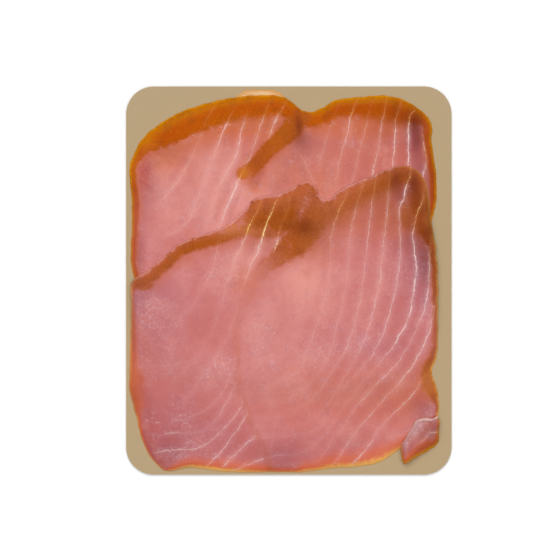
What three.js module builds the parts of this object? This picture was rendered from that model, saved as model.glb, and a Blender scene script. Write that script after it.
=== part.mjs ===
// Cold smoked tuna, sliced and shingled on the backing card of its pack.
//
// Two large thin slices lie on a rounded card. The upper slice lies nearest the top of the card, and the
// lower slice covers its lower half and slopes down onto the card beyond it. Each slice is cut across a
// loin with two lobes, which meet in a notch at the top and a smoked crease below the notch. A scrap of a
// further slice peeps out under the upper slice's top edge, and the corner of another one lies rolled over
// the lower slice's right-hand corner.
//
// Millimetres, +Z up. The origin is under the middle of the card, X runs to the right and Y towards the
// top of the card. Every piece is a sheet: a plan outline, the height of its underside, and its thickness.
import * as THREE from "three";

// Driving sizes.
const CARD_WIDTH = 160;
const CARD_LENGTH = 190.8;
const CARD_THICKNESS = 1;
const CARD_CORNER_RADIUS = 13.6;
const SLICE_THICKNESS = 2.8;
const SCRAP_THICKNESS = 1.4;
const CORNER_THICKNESS = 2.4;

// How thin flexible slices lie on each other.
const LAYER_GAP = 0.2; // air between two layers
const DRAPE_MARGIN = 3.5; // how far past the edge of the one below a slice still lies at its full height
const DRAPE_RUN = 18; // plan length in which it then comes down to the card
const SCRAP_DRAPE_RUN = 9;
const CORNER_DRAPE_RUN = 12;

// Unevenness of a hand-cut slice.
const THICKNESS_WAVE = 0.07; // share of the thickness
const WAVE_LENGTH_X = 61;
const WAVE_LENGTH_Y = 83;
const CREASE_DEPTH = 0.9;
const CREASE_HALF_WIDTH = 5;
const ROLL_HEIGHT = 1.3; // how much thicker the corner piece is along its rolled edge
const ROLL_WIDTH = 4;

// The cut edge thins out in rings that follow the outline. Each ring has its inset from the outline and
// its levels on the top and the underside, as shares of the thickness.
const EDGE_RINGS = [
  { inset: 0, top: 0.5, bottom: 0.14 },
  { inset: 0.8, top: 0.78, bottom: 0 },
  { inset: 2, top: 0.94, bottom: 0 },
  { inset: 4.5, top: 1, bottom: 0 },
];

// Mesh fineness.
const SLICE_OUTLINE_STEPS = 104;
const SLICE_INNER_RINGS = 8;
const CORNER_OUTLINE_STEPS = 52;
const CORNER_INNER_RINGS = 3;
const SCRAP_OUTLINE_STEPS = 36;
const SCRAP_INNER_RINGS = 1;
const CARD_CORNER_STEPS = 12;

// Plan outlines, clockwise from the left. What lies hidden under another piece is finished plainly.
const UPPER_SLICE_OUTLINE = [
  [-77.4, 8], [-77.3, 24], [-77.2, 40], [-78.2, 56], [-75.4, 63.8], [-71.4, 70.4], [-62, 78],
  [-50.4, 84], [-25, 90.3], [-4, 90.4], [2, 87.5], [6.8, 83.6], [12, 83.1], [17, 85.2], [23, 88.7],
  [34, 90.1], [44, 91], [51.6, 90.4], [58.6, 87.8], [68.6, 79.8], [70.5, 75], [70.2, 69],
  [72.5, 51], [72.5, 38.6], [70, 28], [69, 8], [64, -22], [44, -40], [10, -42], [-30, -38],
  [-58, -29], [-72, -10],
];
const LOWER_SLICE_OUTLINE = [
  [-77.3, -1], [-68, 5.8], [-53.5, 18], [-31, 26.8], [-22.6, 34], [-16.8, 40], [-3, 43],
  [9.2, 48.8], [13.6, 45.2], [15.6, 40.6], [19.6, 40], [25.2, 44.4], [36, 49.4], [58, 56.4],
  [66.4, 50.4], [70, 29.6], [72.8, 12], [73.4, -12], [73.2, -31], [72.6, -38], [70.3, -44],
  [72.2, -51], [73.6, -57], [73.6, -65.6], [70, -71.5], [62, -77.4], [53.8, -83.3], [46.4, -88.4],
  [38, -91], [22, -92.2], [15, -93.2], [8, -94], [-12, -94.2], [-34, -93.8], [-49, -91.9],
  [-60.6, -93.6], [-66.2, -89], [-71.5, -80], [-75.7, -64.6], [-78.3, -54], [-78.3, -41],
  [-77.9, -27.5], [-77.5, -10],
];
const SCRAP_OUTLINE = [
  [-26.2, 90], [-24.2, 91.6], [-21.6, 93.4], [-14.4, 93.8], [-7, 93.6], [-4.6, 92.2], [-1, 89],
  [-2.4, 85.8], [-13.2, 84.9], [-24.6, 85.8],
];
const CORNER_OUTLINE = [
  [54.9, -83.9], [55.7, -80.4], [57.8, -76.8], [60.4, -72.6], [62.7, -68.6], [66, -67.6],
  [70.6, -67.4], [73, -66.6], [73.8, -68.6], [73.8, -74], [73.7, -79], [72.4, -81], [70.4, -82.6],
  [64, -86], [56.6, -90],
];

// Centre lines of the creases between the two lobes, from the notch downwards.
const UPPER_CREASE = [[7.5, 84], [0.5, 76], [-8, 68], [-17, 61.5], [-23.5, 52.5]];
const LOWER_CREASE = [[15.6, 41.5], [6, 31], [-4, 20.5], [-14, 10], [-22, 0]];
// The side on which the corner piece is rolled.
const CORNER_ROLL = [
  [56.2, -88], [55, -83.6], [57.6, -77], [60.2, -72.8], [62.6, -68.8], [66, -67.8], [71, -67.6],
];

// The middles from which the plan grids of the pieces fan out.
const UPPER_SLICE_HUB = [0, 20];
const LOWER_SLICE_HUB = [4, -25];
const SCRAP_HUB = [-13, 89.4];
const CORNER_HUB = [66.5, -76];

const CARD_LOOK = { color: 0xb9a17e, roughness: 0.6, metalness: 0 };
const SCRAP_LOOK = { color: 0xdca982, roughness: 0.4, metalness: 0 };
const UPPER_SLICE_LOOK = { color: 0xd0766a, roughness: 0.4, metalness: 0 };
const LOWER_SLICE_LOOK = { color: 0xd07a76, roughness: 0.4, metalness: 0 };
const CORNER_LOOK = { color: 0xa8605a, roughness: 0.4, metalness: 0 };

// Plan points at even steps along a smooth closed curve, turned to run anticlockwise.
function smoothOutline(corners, steps) {
  const curve = new THREE.CatmullRomCurve3(
    corners.map(([x, y]) => new THREE.Vector3(x, y, 0)), true, "centripetal");
  const points = curve.getSpacedPoints(steps).slice(0, steps);
  return THREE.ShapeUtils.isClockWise(points) ? points.reverse() : points;
}

// Plan distance from a point to a segment, and how far along the segment the nearest point lies.
function segmentDistance(x, y, a, b) {
  const alongX = b[0] - a[0];
  const alongY = b[1] - a[1];
  const share = THREE.MathUtils.clamp(
    ((x - a[0]) * alongX + (y - a[1]) * alongY) / (alongX ** 2 + alongY ** 2), 0, 1);
  const distance = Math.hypot(x - a[0] - share * alongX, y - a[1] - share * alongY);
  return { distance, share };
}

// Plan distance from a point to an open line, with the share of the line passed there.
function lineDistance(x, y, line) {
  const found = { distance: Infinity, passed: 0 };
  for (let i = 0; i + 1 < line.length; i += 1) {
    const { distance, share } = segmentDistance(x, y, line[i], line[i + 1]);
    if (distance < found.distance) {
      found.distance = distance;
      found.passed = (i + share) / (line.length - 1);
    }
  }
  return found;
}

// Plan distance outside an outline: 0 at and within it.
function distanceOutside(x, y, outline) {
  let inside = false;
  let least = Infinity;
  outline.forEach((b, i) => {
    const a = outline[(i + outline.length - 1) % outline.length];
    if (a.y > y !== b.y > y && x < ((b.x - a.x) * (y - a.y)) / (b.y - a.y) + a.x) inside = !inside;
    least = Math.min(least, segmentDistance(x, y, [a.x, a.y], [b.x, b.y]).distance);
  });
  return inside ? 0 : least;
}

// The underside of a sheet that lies on the card and over another sheet, and slopes down past it.
function lyingOver(sheet, run) {
  return (x, y) => {
    const share = (distanceOutside(x, y, sheet.outline) - DRAPE_MARGIN) / run;
    const rise = sheet.underside(x, y) + sheet.thickness(x, y) + LAYER_GAP - CARD_THICKNESS;
    return CARD_THICKNESS + rise * (1 - THREE.MathUtils.smoothstep(share, 0, 1));
  };
}

// A slice's thickness: slow waves from the knife, and a valley along the crease that fades downwards.
function slicedThickness(crease) {
  return (x, y) => {
    const wave = Math.sin((2 * Math.PI * x) / WAVE_LENGTH_X) * Math.cos((2 * Math.PI * y) / WAVE_LENGTH_Y);
    const { distance, passed } = lineDistance(x, y, crease);
    const valley = CREASE_DEPTH * (1 - passed) * Math.exp(-((distance / CREASE_HALF_WIDTH) ** 2));
    return SLICE_THICKNESS * (1 + THICKNESS_WAVE * wave) - valley;
  };
}

// A closed solid between a sheet's underside and its top. Its rings follow the outline near the edge and
// close in evenly on the hub beyond it.
function sheetGeometry({ outline, hub, innerRings, underside, thickness }) {
  const positions = [];
  const faces = [];
  const count = outline.length;
  const hubPoint = new THREE.Vector3(hub[0], hub[1], 0);
  const lastInset = EDGE_RINGS[EDGE_RINGS.length - 1].inset;

  const planRing = (inset, share) => outline.map((point) => {
    const reach = point.distanceTo(hubPoint);
    const passed = inset / reach + share * (1 - inset / reach);
    return point.clone().lerp(hubPoint, passed);
  });
  const rings = [
    ...EDGE_RINGS.map((ring) => ({ ...ring, plan: planRing(ring.inset, 0) })),
    ...Array.from({ length: innerRings }, (_, i) => (
      { top: 1, bottom: 0, plan: planRing(lastInset, (i + 1) / (innerRings + 1)) })),
  ];
  const addRing = (plan, level) => {
    const first = positions.length / 3;
    plan.forEach(({ x, y }) => positions.push(x, y, underside(x, y) + level * thickness(x, y)));
    return first;
  };
  const joinRings = (outer, inner) => {
    for (let i = 0; i < count; i += 1) {
      const next = (i + 1) % count;
      faces.push(outer + i, outer + next, inner + next, outer + i, inner + next, inner + i);
    }
  };
  const closeOnHub = (ring, level, facesUp) => {
    const centre = addRing([hubPoint], level);
    for (let i = 0; i < count; i += 1) {
      const next = (i + 1) % count;
      if (facesUp) faces.push(ring + i, ring + next, centre);
      else faces.push(ring + next, ring + i, centre);
    }
  };

  const topRings = rings.map((ring) => addRing(ring.plan, ring.top));
  const bottomRings = rings.map((ring) => addRing(ring.plan, ring.bottom));
  for (let i = 0; i + 1 < rings.length; i += 1) {
    joinRings(topRings[i], topRings[i + 1]);
    joinRings(bottomRings[i + 1], bottomRings[i]);
  }
  joinRings(bottomRings[0], topRings[0]);
  closeOnHub(topRings[rings.length - 1], 1, true);
  closeOnHub(bottomRings[rings.length - 1], 0, false);

  const geometry = new THREE.BufferGeometry();
  geometry.setAttribute("position", new THREE.Float32BufferAttribute(positions, 3));
  geometry.setIndex(faces);
  geometry.computeVertexNormals();
  return geometry;
}

// The die-cut card, with its corners as arcs.
function cardGeometry() {
  const x = CARD_WIDTH / 2 - CARD_CORNER_RADIUS;
  const y = CARD_LENGTH / 2 - CARD_CORNER_RADIUS;
  const corners = [[x, y], [-x, y], [-x, -y], [x, -y]];
  const quarter = Math.PI / 2;
  const shape = new THREE.Shape();
  corners.forEach(([cornerX, cornerY], i) => {
    shape.absarc(cornerX, cornerY, CARD_CORNER_RADIUS, i * quarter, (i + 1) * quarter);
  });
  return new THREE.ExtrudeGeometry(shape, {
    depth: CARD_THICKNESS, bevelEnabled: false, curveSegments: CARD_CORNER_STEPS,
  });
}

const scrap = {
  outline: smoothOutline(SCRAP_OUTLINE, SCRAP_OUTLINE_STEPS),
  hub: SCRAP_HUB,
  innerRings: SCRAP_INNER_RINGS,
  underside: () => CARD_THICKNESS,
  thickness: () => SCRAP_THICKNESS,
};

const upperSlice = {
  outline: smoothOutline(UPPER_SLICE_OUTLINE, SLICE_OUTLINE_STEPS),
  hub: UPPER_SLICE_HUB,
  innerRings: SLICE_INNER_RINGS,
  underside: lyingOver(scrap, SCRAP_DRAPE_RUN),
  thickness: slicedThickness(UPPER_CREASE),
};

const lowerSlice = {
  outline: smoothOutline(LOWER_SLICE_OUTLINE, SLICE_OUTLINE_STEPS),
  hub: LOWER_SLICE_HUB,
  innerRings: SLICE_INNER_RINGS,
  underside: lyingOver(upperSlice, DRAPE_RUN),
  thickness: slicedThickness(LOWER_CREASE),
};

const cornerPiece = {
  outline: smoothOutline(CORNER_OUTLINE, CORNER_OUTLINE_STEPS),
  hub: CORNER_HUB,
  innerRings: CORNER_INNER_RINGS,
  underside: lyingOver(lowerSlice, CORNER_DRAPE_RUN),
  thickness: (x, y) => {
    const { distance } = lineDistance(x, y, CORNER_ROLL);
    return CORNER_THICKNESS + ROLL_HEIGHT * Math.exp(-((distance / ROLL_WIDTH) ** 2));
  },
};

function namedMesh(name, geometry, look) {
  const mesh = new THREE.Mesh(geometry, new THREE.MeshStandardMaterial(look));
  mesh.name = name;
  return mesh;
}

const tunaPack = new THREE.Group();
tunaPack.add(namedMesh("backing_card", cardGeometry(), CARD_LOOK));
tunaPack.add(namedMesh("top_scrap", sheetGeometry(scrap), SCRAP_LOOK));
tunaPack.add(namedMesh("upper_slice", sheetGeometry(upperSlice), UPPER_SLICE_LOOK));
tunaPack.add(namedMesh("lower_slice", sheetGeometry(lowerSlice), LOWER_SLICE_LOOK));
tunaPack.add(namedMesh("corner_piece", sheetGeometry(cornerPiece), CORNER_LOOK));

export default tunaPack;
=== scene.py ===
"""Looks of the sliced cold smoked tuna on its backing card.

The fish lies as four thin sheets: two large slices, a scrap under the top edge and a small piece rolled over
the lower right-hand corner. Each sheet is a dense closed mesh with the outline, height and thickness of its
CAD solid, and an edge that thins out and droops. Point attributes carry the smoked rim, the crease between
its two lobes, the muscle lines and soft tints, which grow with the fish, and with them some painted light: a
sheen in a few pale patches, a highlight on the rolled corner and a lift that lightens thin edges. One fish
material reads them.
The card is made by Geometry Nodes.

Plan sizes are in millimetres, X to the right and Y to the top of the card, and meshes are in metres.
"""
import math

import bpy
import numpy as np
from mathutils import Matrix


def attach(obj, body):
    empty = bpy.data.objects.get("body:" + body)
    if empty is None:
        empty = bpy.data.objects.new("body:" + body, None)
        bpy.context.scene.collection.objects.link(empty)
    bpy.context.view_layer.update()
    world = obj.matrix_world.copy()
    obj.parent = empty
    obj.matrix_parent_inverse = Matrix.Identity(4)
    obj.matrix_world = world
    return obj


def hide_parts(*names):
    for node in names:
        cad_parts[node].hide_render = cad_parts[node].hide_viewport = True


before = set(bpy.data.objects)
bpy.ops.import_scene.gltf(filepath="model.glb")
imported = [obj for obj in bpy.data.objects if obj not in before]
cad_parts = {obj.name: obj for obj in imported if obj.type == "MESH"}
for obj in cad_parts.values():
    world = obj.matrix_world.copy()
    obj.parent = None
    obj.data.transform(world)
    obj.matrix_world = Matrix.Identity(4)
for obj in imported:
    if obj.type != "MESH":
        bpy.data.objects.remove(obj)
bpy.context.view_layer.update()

MM = 0.001

# Sizes shared with the solids.
CARD_WIDTH = 160
CARD_LENGTH = 190.8
CARD_THICKNESS = 1
CARD_CORNER_RADIUS = 13.6
SLICE_THICKNESS = 2.8
SCRAP_THICKNESS = 1.4
CORNER_THICKNESS = 2.4
LAYER_GAP = 0.2
DRAPE_MARGIN = 3.5
DRAPE_RUN = 18
SCRAP_DRAPE_RUN = 9
CORNER_DRAPE_RUN = 12
THICKNESS_WAVE = 0.07
WAVE_LENGTH_X = 61
WAVE_LENGTH_Y = 83
CREASE_DEPTH = 0.9
CREASE_HALF_WIDTH = 5
ROLL_HEIGHT = 1.3
ROLL_WIDTH = 4

# Detail that only the sheets here have: how the cut edge thins out and droops onto what lies below, the
# small waves of the cut, the low relief of the top, and the distances of the outer rings from the edge.
EDGE_TOP_LEVEL = 0.06
EDGE_THINNING = 2.2
EDGE_DROOP = 2
EDGE_CLEARANCE = 0.06
CUT_WAVE_HEIGHT = 0.22
CUT_WAVE_LENGTH = 9
RELIEF_HEIGHT = 0.1
RELIEF_LENGTH = 26
EDGE_INSETS = [0, 0.2, 0.5, 0.9, 1.5, 2.3, 3.4, 5]

# Waves of the relief and of the cut: how many lengths they have, how often the shortest goes into the
# longest, how far a wave swings to the side, over how many of its own lengths, and what brings the sum to 1.
RIPPLE_WAVES = 7
RIPPLE_SPREAD = 5
RIPPLE_SWING = 0.9
RIPPLE_SWING_LENGTH = 1.7
RIPPLE_GAIN = 1.6

# Meshes of the sheets: points round the outline, the hub that the rings close in on, the gap between rings,
# and the rings of the top for each ring of the bottom.
SCRAP_POINTS = 120
SLICE_POINTS = 480
CORNER_POINTS = 200
SCRAP_HUB = (-13, 89.4)
UPPER_HUB = (0, 20)
LOWER_HUB = (4, -25)
CORNER_HUB = (66.5, -76)
SCRAP_RING_GAP = 0.8
SLICE_RING_GAP = 1.2
CORNER_RING_GAP = 0.6
TOP_RINGS_PER_BOTTOM_RING = 4

# Seeds of the cut edges and of the relief.
SCRAP_CUT_SEED = 5
UPPER_CUT_SEED = 11
LOWER_CUT_SEED = 23
CORNER_CUT_SEED = 31
UPPER_RELIEF_SEED = 41
LOWER_RELIEF_SEED = 43

# Samples of a curve between two of its corners, and of each line and crease for each of its points.
CURVE_SAMPLES = 24
LINE_SAMPLES = 5
SMOKE_SAMPLES = 6

# Muscle lines: the usual and the least gap between two, how far a line is carried on past its ends to tell
# one side of it from the other, and how fast it fades there.
USUAL_LINE_GAP = 7.0
LEAST_LINE_GAP = 0.5
LINE_RUN_ON = 40
LINE_END_FALL = 12

# Corners of the card, in steps, and the distance in metres within which its points are merged.
CARD_CORNER_STEPS = 24
WELD_DISTANCE = 0.00001

# Relief of the surfaces, in millimetres.
FISH_RELIEF = 0.12
CARD_RELIEF = 0.02

# Light in the studio: what a level white surface sends back, how much of that the surroundings give, and the
# gloss that lies over the fish and over the card.
LIGHT_LEVEL = 1.15
SURROUND_LEVEL = 0.9
FISH_GLOSS = 0.007
CARD_GLOSS = 0.012

# Outlines of the sheets, the creases of the two slices and the fold of the corner piece, as in the solids.
UPPER_SLICE_OUTLINE = [
    (-77.4, 8), (-77.3, 24), (-77.2, 40), (-78.2, 56), (-75.4, 63.8), (-71.4, 70.4), (-62, 78),
    (-50.4, 84), (-25, 90.3), (-4, 90.4), (2, 87.5), (6.8, 83.6), (12, 83.1), (17, 85.2), (23, 88.7),
    (34, 90.1), (44, 91), (51.6, 90.4), (58.6, 87.8), (68.6, 79.8), (70.5, 75), (70.2, 69), (72.5, 51),
    (72.5, 38.6), (70, 28), (69, 8), (64, -22), (44, -40), (10, -42), (-30, -38), (-58, -29), (-72, -10),
]
LOWER_SLICE_OUTLINE = [
    (-77.3, -1), (-68, 5.8), (-53.5, 18), (-31, 26.8), (-22.6, 34), (-16.8, 40), (-3, 43), (9.2, 48.8),
    (13.6, 45.2), (15.6, 40.6), (19.6, 40), (25.2, 44.4), (36, 49.4), (58, 56.4), (66.4, 50.4),
    (70, 29.6), (72.8, 12), (73.4, -12), (73.2, -31), (72.6, -38), (70.3, -44), (72.2, -51), (73.6, -57),
    (73.6, -65.6), (70, -71.5), (62, -77.4), (53.8, -83.3), (46.4, -88.4), (38, -91), (22, -92.2),
    (15, -93.2), (8, -94), (-12, -94.2), (-34, -93.8), (-49, -91.9), (-60.6, -93.6), (-66.2, -89),
    (-71.5, -80), (-75.7, -64.6), (-78.3, -54), (-78.3, -41), (-77.9, -27.5), (-77.5, -10),
]
SCRAP_OUTLINE = [
    (-26.2, 90), (-24.2, 91.6), (-21.6, 93.4), (-14.4, 93.8), (-7, 93.6), (-4.6, 92.2), (-1, 89),
    (-2.4, 85.8), (-13.2, 84.9), (-24.6, 85.8),
]
CORNER_OUTLINE = [
    (54.9, -83.9), (55.7, -80.4), (57.8, -76.8), (60.4, -72.6), (62.7, -68.6), (66, -67.6), (70.6, -67.4),
    (73, -66.6), (73.8, -68.6), (73.8, -74), (73.7, -79), (72.4, -81), (70.4, -82.6), (64, -86),
    (56.6, -90),
]
UPPER_CREASE = [(7.5, 84), (0.5, 76), (-8, 68), (-17, 61.5), (-23.5, 52.5)]
LOWER_CREASE = [(15.6, 41.5), (6, 31), (-4, 20.5), (-14, 10), (-22, 0)]
CORNER_ROLL = [
    (56.2, -88), (55, -83.6), (57.6, -77), (60.2, -72.8), (62.6, -68.8), (66, -67.8), (71, -67.6),
]

# Rims along the outlines. Each stop has its place and the rim's width, how smoked it is and how golden its
# edge is. Then come how far the edge thins to a film, which also places a painted light along the thin edge,
# and how softly the rim ends inwards, which a stop leaves out where they are as in a plain stop.
UPPER_RIM = [
    (-77.3, 10, 2.8, 0.6, 0.2), (-77.3, 30, 3.4, 0.6, 0.2), (-77.3, 38, 4, 0.75, 0.3, 0, 0.5),
    (-77.5, 46, 3.4, 0.9, 0.5, 0, 0.4), (-78.2, 56, 3.4, 0.9, 0.8, 0, 0.3),
    (-75.4, 63.8, 5.4, 0.95, 0.8, 0, 0.2), (-71.4, 70.4, 9.6, 1, 0.8, 0, 0.1),
    (-66, 75.5, 12.2, 1, 0.8, 0, 0.1), (-56, 81.5, 13.6, 1, 0.9, 0, 0.1), (-45, 86, 13.2, 1, 0.8, 0, 0.2),
    (-30, 89.3, 12, 1, 0.8, 0, 0.4), (-12, 90.6, 11.8, 1, 0.6, 0, 0.5), (2, 87.4, 9, 1, 0.2, 0, 0.4),
    (7, 83, 7.6, 1, 0.2, 0, 0.4), (14, 83.4, 8, 1, 0.6, 0, 0.5), (30, 90, 10.2, 1, 1),
    (46, 90.9, 13, 1, 1), (58.5, 87.8, 13, 1, 0.4, 0, 0.7), (65, 83.4, 9, 1, 0.5, 0, 0.7),
    (69.6, 78, 5, 0.9, 0.9, 0, 0.5), (70.1, 69, 4.4, 0.9, 0.7), (72.4, 51, 3.8, 0.9, 0.6),
    (72.4, 38, 3.4, 0.9, 0.6, 0, 0.5), (64, -22, 2.5, 0.8, 0.2, 0, 0.5),
    (-58, -29, 2.5, 0.6, 0.1, 0, 0.5),
]
LOWER_RIM = [
    (-76.4, -0.6, 6, 0.85, 0, 0.4, 0.7), (-68, 5.8, 6.4, 0.9, 0, 0.8, 0.4),
    (-53.5, 18, 6.3, 1, 0, 0.7, 0.3), (-40, 24, 7.4, 1, 0, 0.7, 0.3), (-31, 26.8, 8.2, 0.9, 0, 1.3, 0.3),
    (-27.5, 29.5, 10, 0.85, 0, 3, 0.3), (-24.6, 32, 12, 0.9, 0, 3.1, 0.3),
    (-22.6, 34, 14, 1, 0, 1.2, 0.2), (-16.8, 40, 18, 1, 0, 0.9, 0.15), (-10, 41.8, 20.4, 1, 0, 0.9, 0.15),
    (-3, 43, 21, 1, 0, 0.7, 0.3), (3, 45.6, 21, 1, 0, 0.8, 0.3), (9.2, 48.8, 17, 1, 0, 0.7, 0.8),
    (15.6, 40.6, 13, 0.9, 0, 0.9, 1), (25.2, 44.4, 13, 0.88, 0, 0.9, 1),
    (36, 49.4, 12.5, 0.92, 0, 0.8, 1), (48, 53.6, 11.5, 1, 0, 0.6, 0.8), (58, 56.4, 9.5, 1, 0, 0.3),
    (66.4, 50.4, 8.5, 0.95, 0.2, 0.2), (70, 34, 12, 0.95, 0.5, 0, 0.8), (71, 25, 9, 0.95, 0.6, 0, 0.8),
    (72, 17, 4, 0.95, 0.7, 0, 0.7), (73.4, -8, 3, 0.9, 0.6), (73.4, -18, 2.8, 0.6, 0.3),
    (73.2, -31, 2.8, 0.45, 0.3), (70.3, -44, 5.2, 0.95, 1, 0, 0.7), (72.2, -51, 7.4, 1, 0.7, 0, 0.5),
    (73.6, -57, 5, 1, 0.4), (73.2, -61, 1.8, 0.6, 0.9), (73.2, -66, 1.4, 0.4, 1),
    (62, -77.4, 4, 0.2, 0.5, 0, 0.5), (53.8, -83.3, 5.4, 0.1, 0.7), (46.4, -88.4, 8, 0, 1),
    (36, -91, 7.4, 0, 1), (22, -92.2, 6.6, 0, 0.8), (8, -93.8, 4.4, 0, 0.5), (2, -94, 2, 0, 0.1),
    (-8, -94.2, 2, 0.1, 0), (-12, -94.2, 4, 0, 0.2), (-24, -94, 5.4, 0, 0.6), (-34, -93.8, 5.4, 0, 1),
    (-48, -91.8, 4.8, 0, 0.8), (-58, -93, 3, 0, 0.3), (-60.4, -93.4, 0.8, 0, 0), (-71.4, -80, 0.8, 0, 0),
    (-74.6, -69, 2.2, 0.05, 0.3), (-77, -60, 5.6, 0.05, 0.12), (-78.3, -49, 7, 0.15, 0.12),
    (-78.3, -42, 4.4, 0.3, 0.25), (-78.3, -36, 3.2, 0.3, 0.3), (-77.8, -22, 2.6, 0.4, 0.2),
    (-77.5, -10, 1.4, 0.2, 0.2), (-77.4, -6, 1.6, 0.3, 0.8),
]
SCRAP_RIM = [
    (-24, 91.5, 1.2, 0, 0.5), (-14.4, 93.5, 1, 0, 0), (-3, 90.6, 1.2, 0.1, 0.5), (-13, 85, 1, 0, 0),
]
# On the rolled corner, the gold of the two stops at the far left is a painted light against the shade of the
# drooping edge, and the film shares along the top and left edges lay a painted lilac-white highlight over
# them.
CORNER_RIM = [
    (54.9, -83.9, 1, 0, 0.5, 0.2, 0.5), (55.8, -87.4, 1.2, 0, 0.5, 0, 0.5),
    (56.6, -90, 4.4, 0.2, 0.5, 0, 0.8), (64, -85.8, 4.6, 0.4, 0.9, 0, 0.8),
    (70.5, -82.4, 4.4, 0.6, 1, 0, 0.8), (73.7, -78.6, 2.4, 0.7, 0.5, 0, 0.7), (73.7, -72, 1.2, 0.4, 0.4),
    (73.4, -66, 0.8, 0.2, 0.3, 0, 0.5), (70.6, -67.4, 0.3, 0, 0, 0.5, 0.5),
    (66, -67.6, 0.3, 0, 0, 0.7, 0.5), (62.7, -68.6, 0.3, 0, 0, 0.8, 0.5),
    (57.8, -76.8, 0.3, 0, 0, 1, 0.5), (55.7, -80.4, 0.3, 0, 0, 0.8, 0.5),
]
PLAIN_STOP = (0, 0.6)

# Smoked creases and, in the lower slice, the seam that goes on from it: centre line, half width, strength.
UPPER_SMOKE = [
    (7.5, 83, 4.6, 1), (1.8, 75, 5.3, 1), (-4.8, 68.6, 4.3, 1), (-11.2, 62.6, 4.1, 1),
    (-15.4, 57.8, 3.7, 0.95), (-18.6, 54.4, 3.8, 0.9), (-20.2, 51.8, 3.8, 0.55), (-20.8, 49, 3, 0.15),
]
LOWER_SMOKE = [
    (15.4, 40, 6.4, 0.85), (11, 31, 8.6, 1), (6, 21.6, 7.8, 1), (-1, 15, 6.2, 0.95),
    (-6.2, 10.4, 4.4, 0.75), (-12.6, 5.4, 3.6, 0.35), (-17, -1, 3.4, 0.12), (-22.4, -12, 2.6, 0.1),
    (-25.8, -34, 2.2, 0.08), (-24, -54, 2, 0.1), (-18, -71, 1.6, 0.16), (-10.6, -86.8, 1.6, 0.2),
    (-9.4, -94, 1.6, 0.3),
]

# Lines on which the two lobes of a slice part, and what a sheet that has no crease gets for one.
UPPER_PARTING = [(9, 90), (0.5, 75.4), (-12.6, 62.8), (-21.8, 52.8), (-23, 44), (-28, 30), (-34, 10)]
LOWER_PARTING = [
    (17, 50), (14.6, 40), (0.6, 23.4), (-13.2, 8), (-20.6, 0), (-24.6, -12), (-25.8, -34), (-24, -54),
    (-17.6, -71), (-11.7, -90.8), (-10, -100),
]
NO_CREASE = (-50.0, 9.0, 0.0)

# Pale muscle lines, from left to right across a lobe. Each point has its place and how strong the line is.
UPPER_LEFT_LINES = [
    [(-34.4, 87.3, 0.1), (-41.2, 77.5, 0.3), (-44, 69, 0.12), (-48.6, 59.5, 0.25), (-54, 49.5, 0.4),
     (-61.9, 40.3, 0.2)],
    [(-27, 84.4, 0.1), (-30.9, 76.5, 0.6), (-37.3, 60.3, 0.3), (-41, 50, 0.12), (-44.7, 40.6, 0.15),
     (-50, 28, 0.3), (-60, 22, 0.2)],
    [(-20.8, 81.4, 0.2), (-23.5, 72, 0.6), (-26, 62, 0.45), (-29.9, 54.3, 0.35), (-36, 41.1, 0.2),
     (-40.6, 25.8, 0.15)],
    [(-10.1, 86, 0.3), (-14.7, 74, 0.5), (-18.4, 62, 0.3), (-24.7, 48.9, 0.8), (-30.9, 35.2, 0.7),
     (-34.5, 26, 0.3)],
    [(-2.7, 86, 0.6), (-6.1, 79.4, 0.9), (-8.9, 72.1, 0.4)],
]
UPPER_RIGHT_LINES = [
    [(4, 66, 0), (8, 57.8, 0.2), (13, 47, 0.3), (18, 36, 0.2)],
    [(25.9, 88.8, 0.2), (22.9, 82.1, 0.25), (16.3, 63, 0.2), (14.6, 54.1, 0.1)],
    [(34.3, 89.8, 0.3), (31.3, 82.7, 0.5), (27.6, 67.8, 0.35), (22.9, 49.9, 0.15)],
    [(41, 88, 0.2), (38.4, 78, 0.25), (34.8, 62.4, 0.25), (31, 48, 0.25)],
    [(48, 89, 0.3), (46.2, 79.7, 0.5), (45, 71.3, 0.5), (42, 55.8, 0.5), (40, 48, 0.35)],
    [(55.5, 88, 0.3), (52.7, 80, 0.5), (52.4, 71.3, 0.6), (50.9, 56.4, 0.5)],
    [(64.6, 86.2, 0.6), (59.5, 80.3, 0.75), (58.9, 71.3, 0.8), (59, 63, 0.8), (58.3, 54, 0.75)],
    [(65.6, 73, 0.1), (67, 65.4, 0.6), (67.7, 58.8, 0.8), (65.8, 51.1, 0.8)],
]
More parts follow.
